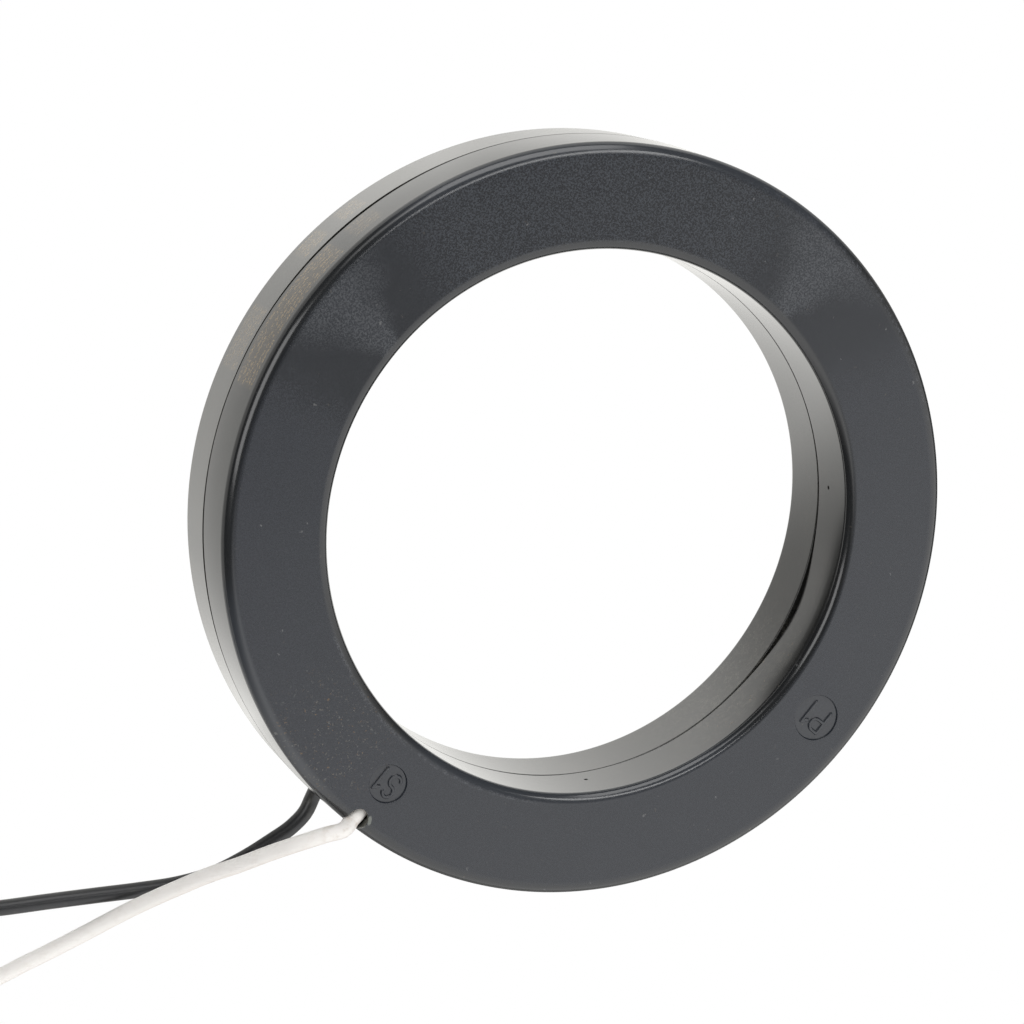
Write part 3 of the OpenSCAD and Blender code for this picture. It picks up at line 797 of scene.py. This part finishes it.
# Geometry Nodes tree that draws a round strand along every chain of edges
def strand_tree():
    tree = bpy.data.node_groups.new("round_strands", "GeometryNodeTree")
    n = Net(tree)
    for name, way, kind in (("Geometry", "INPUT", "Geometry"), ("Strand radius", "INPUT", "Float"),
                            ("Strand sides", "INPUT", "Int"), ("Geometry", "OUTPUT", "Geometry")):
        tree.interface.new_socket(name, in_out=way, socket_type="NodeSocket" + kind)
    paths = n.node("GeometryNodeMeshToCurve", ins={"Mesh": n.node("NodeGroupInput", out="Geometry")})
    ring = n.node("GeometryNodeCurvePrimitiveCircle", ins={
        "Resolution": n.node("NodeGroupInput", out="Strand sides"),
        "Radius": n.node("NodeGroupInput", out="Strand radius")})
    strands = n.node("GeometryNodeCurveToMesh", ins={
        "Curve": paths, "Profile Curve": ring, "Fill Caps": True})
    whole = n.node("GeometryNodeRealizeInstances", ins={"Geometry": strands})
    done = n.node("GeometryNodeSetMaterial", ins={"Geometry": whole, "Material": STRANDS})
    n.node("NodeGroupOutput", ins={"Geometry": done})
    return tree


STRAND_TREE = strand_tree()


# Runs the strand tree on chains of points and keeps the result as a plain mesh
def draw_strands(name, chains):
    verts, edges = [], []
    for chain in chains:
        edges += [(len(verts) + i, len(verts) + i + 1) for i in range(len(chain) - 1)]
        verts += in_metres(chain)
    mesh = bpy.data.meshes.new(name)
    mesh.from_pydata(verts, edges, [])
    obj = add(name, mesh)
    mod = obj.modifiers.new("strands", "NODES")
    mod.node_group = STRAND_TREE
    sizes = {"Strand radius": STRAND_R * MM, "Strand sides": STRAND_SIDES}
    for item in STRAND_TREE.interface.items_tree:
        if item.name in sizes:
            mod[item.identifier] = sizes[item.name]
    settle(obj, 40.0)
    return obj


# Bare strands twisted together in rings, from a start point along a direction
def strand_end(name, start, way, seed):
    rng = np.random.default_rng(seed)
    side = np.cross(way, (0, 0, 1.0))
    upward = np.cross(side, way)
    chains = []
    for count, rad in STRAND_RINGS:
        for k in range(count):
            long = BARE_L * (1 - 0.04 * rng.random())
            chain = []
            for i in range(25):
                l = -0.6 + (long + 0.6) * i / 24
                a = 2 * math.pi * k / count + l * 0.55
                grow = rad * (1 + 0.10 * max(0.0, l / BARE_L) ** 2 * (1 + rng.random() * 0.2))
                chain.append(np.array(start) + way * l + grow * (math.cos(a) * side + math.sin(a) * upward))
            chains.append(chain)
    return draw_strands(name, chains)


# The band of a tie, drawn round the section of the coil; place turns reach, side and height into a point
def tie_band(name, place):
    inner, outer = COIL_MID - 1.5 * LEAD_D, COIL_MID + 1.5 * LEAD_D
    low, top = TIE_T, TIE_TOP
    line = [(inner + 0.6, low), (outer - 0.6, low), (outer, low + 0.7), (outer, low + LEAD_D - 0.2),
            (outer - LEAD_R + 0.1, top - 0.3), (outer - LEAD_R - 0.5, top), (inner + LEAD_R + 0.5, top),
            (inner + LEAD_R - 0.1, top - 0.3), (inner, low + LEAD_D - 0.2), (inner, low + 0.7)]
    section = [(-1.35, 0.0), (-1.2, 0.0), (1.2, 0.0), (1.35, 0.0),
               (1.35, 0.4), (1.2, 0.55), (-1.2, 0.55), (-1.35, 0.4)]
    middle = np.array((COIL_MID, (low + top) / 2))
    points = [np.array(q) for q in line]
    n = len(points)
    verts = []
    for i, p in enumerate(points):
        way = unit(unit(p - points[i - 1]) + unit(points[(i + 1) % n] - p))
        out = np.array((way[1], -way[0]))
        if out.dot(p - middle) < 0:
            out = -out
        for across, rise in section:
            q = p + out * (rise + TIE_GAP)
            verts.append(place(q[0], across, max(q[1], 0.02)))
    return build(name, verts, ring_faces(n, len(section), True), TIE, 50.0)


# A block with eased edges on top of the coil
def tie_block(name, place, size, lift):
    low = np.array((COIL_MID - 2.0, -size[1] / 2, TIE_TOP + lift))
    corners = [low + np.array(size) * (i, j, k) for i in (0, 1) for j in (0, 1) for k in (0, 1)]
    bm = bmesh.new()
    verts = [bm.verts.new(p) for p in in_metres(place(*q) for q in corners)]
    for f in ((0, 1, 3, 2), (4, 6, 7, 5), (0, 4, 5, 1), (2, 3, 7, 6), (0, 2, 6, 4), (1, 5, 7, 3)):
        bm.faces.new([verts[i] for i in f])
    bmesh.ops.bevel(bm, geom=bm.edges[:], offset=0.18 * MM, segments=2, affect="EDGES")
    mesh = bpy.data.meshes.new(name)
    bm.to_mesh(mesh)
    bm.free()
    mesh.materials.append(TIE)
    shade(mesh, 50.0)
    return add(name, mesh)


# A tie round a coil: a band that follows the turns, its head and the cut end of its tail
def coil_tie(name, centre, at):
    a = math.radians(at)
    outward = np.array((math.cos(a), math.sin(a), 0.0))
    sideways = np.array((-math.sin(a), math.cos(a), 0.0))

    def place(reach, side, z):
        return np.array((centre[0], centre[1], z)) + outward * reach + sideways * side

    head = tie_block(name + "_head", place, (4.0, 4.0, 2.4), 0.45)
    tail = tie_block(name + "_tail", place, (9.0, 2.3, 0.5), 1.2)
    return join(name, [tie_band(name + "_band", place), head, tail])


# Tail inside the case, from the crimp round its bend to the exit
def make_tail(color, side, mat, slot):
    out, start, way = lead_exit(side)
    gap = start.z
    lift = 0.25 * (1 if side < 0 else -1)
    mid_x, mid_y = start.x - side * TAIL_BEND * math.cos(YAW), start.y - TAIL_BEND * math.sin(YAW)
    points = [(-side * 13.0, mid_y + TAIL_BEND, gap), (-side * 10.0, mid_y + TAIL_BEND, gap)]
    for i in range(9):
        a = math.pi / 2 + (YAW - math.pi / 2) * i / 8
        points.append((mid_x + TAIL_BEND * side * math.cos(a), mid_y + TAIL_BEND * math.sin(a),
                       gap + (lift if i == 8 else 0.0)))
    path = spline(points + [tuple(out)], (side, 0, 0), tuple(way), 0.6)
    dress(tube(f"{color}_tail", path, LEAD_R, 24, mat), slot, f"{color}_lead_tail")


# Direction of a turn of the coil at an angle in degrees
def turn_way(deg, wind):
    a = math.radians(deg)
    return wind * np.array((-math.sin(a), math.cos(a), 0.0))


# Free lead: its route, the turns of its coil and its straight end; also the direction of that end
def lead_path(side, points, centre, entry, finish, wind):
    out, start, way = lead_exit(side)
    e = math.radians(entry)
    reach = COIL_MID + LEAD_D
    into = turn_way(entry, wind)
    tangent = np.array((centre[0] + reach * math.cos(e), centre[1] + reach * math.sin(e), TIE_T + LEAD_R))
    floor_z = LEAD_R + 0.05
    route = [tuple(out)] + [(x, LEAD_Y + y, max(floor_z, f * out.z)) for x, y, f in points]
    line = spline(route + [tuple(tangent - STUB_L * into)], tuple(way), tuple(into))
    line += [tangent - 0.5 * STUB_L * into, tangent]
    line += coil_turns(centre, entry, wind, ((finish - entry) * wind) % 360 + 4 * 360)
    off = turn_way(finish, wind)
    last = line[-1]
    line += [last + off * STUB_L * k / 6 for k in range(1, 7)]
    return resample(line, 0.9), off


def make_lead(color, side, mat, points, centre, entry, finish, wind, tie_at, seed):
    slot = f"{color}_insulation"
    make_tail(color, side, mat, slot)
    path, off = lead_path(side, points, centre, entry, finish, wind)
    lead = tube(f"{color}_lead_cord", path, LEAD_R, 24, mat)
    ends = strand_end(f"{color}_strands", path[-1], off, seed)
    tie = coil_tie(f"{color}_tie", centre, tie_at)
    dress(lead, slot, f"{color}_lead", f"{color}_lead_coil")
    dress(ends, "bare_strands", f"{color}_lead_end")
    dress(tie, "tie_plastic", f"{color}_coil_tie")
    out = lead_exit(side)[0]
    [c * MM for c in out]
    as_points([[c * MM for c in p] for p in path[::3]] + [[c * MM for c in path[-1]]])


make_case()
make_lead("white", -1, WHITE, WHITE_POINTS, (-32.0, LEAD_Y - 104.55), 132, 276, 1, 20, 3)
make_lead("black", 1, BLACK, BLACK_POINTS, (-71.0, LEAD_Y - 61.05), -48, 168, -1, 230, 5)
for name, mat in INSIDE.items():
    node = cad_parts[name]
    node.data.materials.clear()
    node.data.materials.append(mat)


# Painted shade: sides on which the floor's glow shows darker in the moulding: bearing, start, full, drop and
# how far it fades
FLOOR_PAINTED_SHADE = ((207, 0.70, 0.97, 0.45, 0.0), (264, 0.985, 0.999, 0.3, 0.0), (130, 0.93, 0.99, 0.25, 0.0),
               (345, 0.05, 0.6, 1.05, 0.45), (55, 0.60, 0.95, 0.7, 0.0))


# Brightness of the floor's glow as the moulding mirrors it, inside and outside the window, with painted
# shade: a broad shadow and a small shaded patch inside, and a drop from just outside the case outwards
def floor_level(x, y):
    r = (x * x + y * y) ** 0.5
    painted_shadow_pool = 1.0 - away_from(x, y, 43.0, 17.0).step(5.0, 30.0)
    ahead = (along_bearing(x, y, 16) - 38.6).max(0.0)
    across = along_bearing(x, y, 106)
    painted_shade_spot = 1.0 - ((ahead * ahead + 0.2 * across * across) ** 0.5).step(4.0, 6.4)
    tone_in = (1.52 - 0.72 * painted_shadow_pool) * (1.0 - 0.9 * painted_shade_spot)
    tone_out = 1.55
    for bearing, start, full, drop, fade in FLOOR_PAINTED_SHADE:
        near = along_bearing(x, y, bearing) / (r + 0.001)
        tone_out = tone_out - drop * near.step(start, full) * (1.0 - fade * r.step(85.0, 150.0))
    return tone_in + r.step(58.0, 74.0) * (tone_out.max(0.5) - tone_in) - 0.35 * r.step(79.0, 86.0)


# Pale floor, white to the camera; to mirrored and transmitted rays it glows with painted light and shade
def floor_finish():
    m, n = material("pale_floor")
    at = object_mm(n)
    x, y, z = n.xyz(at)
    path = n.tree.nodes.new("ShaderNodeLightPath")
    kinds = ("Camera", "Glossy", "Transmission")
    camera, glossy, through = [Sock(n, path.outputs[f"Is {kind} Ray"]) for kind in kinds]
    tone = n.mix(n.noise(at, 0.02, 3.0), rgb(0.80, 0.80, 0.80), rgb(0.84, 0.84, 0.84))
    shine = n.mix(floor_level(x, y) * 0.5, rgb(0, 0, 0), rgb(2.0, 1.985, 1.92))
    shine = n.mix(camera, shine, rgb(1, 1, 1))
    diffuse = n.node("ShaderNodeBsdfDiffuse", ins={"Color": tone})
    glow = n.node("ShaderNodeEmission", ins={"Color": shine, "Strength": 1.0})
    seen = camera.max(glossy).max(through)
    both = n.node("ShaderNodeMixShader", ins=(seen, diffuse, glow))
    n.node("ShaderNodeOutputMaterial", ins={"Surface": both})
    return m


def make_floor():
    half = 1500
    corners = [(-half, -half, 0), (half, -half, 0), (half, half, 0), (-half, half, 0)]
    floor = build("studio_floor", corners, [(0, 1, 2, 3)], floor_finish())
    floor.location.z = -0.0002


# Surroundings: one bright side, and white to the camera
def make_world():
    world = bpy.data.worlds.new("studio")
    bpy.context.scene.world = world
    world.use_nodes = True
    w = Net(world.node_tree)
    x, y, z = w.xyz(w.node("ShaderNodeTexCoord", out="Generated"))
    side = along_bearing(x, y, 338) / ((x * x + y * y) ** 0.5 + 0.001)
    above = 0.97 * z + 0.24 * along_bearing(x, y, 110)
    tone = 0.075 + 1.36 * side.step(0.05, 0.7) * (1.0 - 0.85 * above.step(0.85, 0.91))
    color = w.mix(tone * 0.5, rgb(0, 0, 0), rgb(2, 2, 2))
    light = w.node("ShaderNodeBackground", ins={"Color": color, "Strength": 1.0})
    white = w.node("ShaderNodeBackground", ins={"Color": rgb(1, 1, 1), "Strength": 1.0})
    camera = w.node("ShaderNodeLightPath", out="Is Camera Ray")
    both = w.node("ShaderNodeMixShader", ins=(camera, light, white))
    w.node("ShaderNodeOutputWorld", ins={"Surface": both})


# Softboxes: name, bearing, elevation, size in metres, the way of its first side, and brightness
SOFTBOXES = (("high_softbox", 88, 62, (0.90, 0.20), (-0.031, -0.882, 0.469), 5.5),
             ("side_softbox", 157, 41, (0.36, 0.42), (-0.39, -0.92, 0), 1.4),
             ("back_softbox", 125, 30, (0.96, 0.90), (-0.82, -0.57, 0), 2.8),
             ("near_softbox", 202, 43, (0.72, 0.68), (0.37, -0.93, 0), 2.9))
SOFTBOX_AWAY = 1.4


def make_softbox(name, bearing, elevation, size, along, glow):
    b, e = math.radians(bearing), math.radians(elevation)
    out = Vector((math.cos(e) * math.cos(b), math.cos(e) * math.sin(b), math.sin(e)))
    data = bpy.data.lights.new(name, "AREA")
    data.shape, data.size, data.size_y = "RECTANGLE", size[0], size[1]
    data.energy = math.pi * glow * size[0] * size[1]
    across = Vector(along)
    across = (across - out * across.dot(out)).normalized()
    turn = Matrix((across, out.cross(across), out)).transposed().to_4x4()
    lamp = add(name, data)
    lamp.matrix_world = Matrix.Translation(out * SOFTBOX_AWAY) @ turn
    lamp.visible_camera = False


make_floor()
make_world()
for softbox in SOFTBOXES:
    make_softbox(*softbox)
bpy.context.scene.view_settings.view_transform = "Standard"
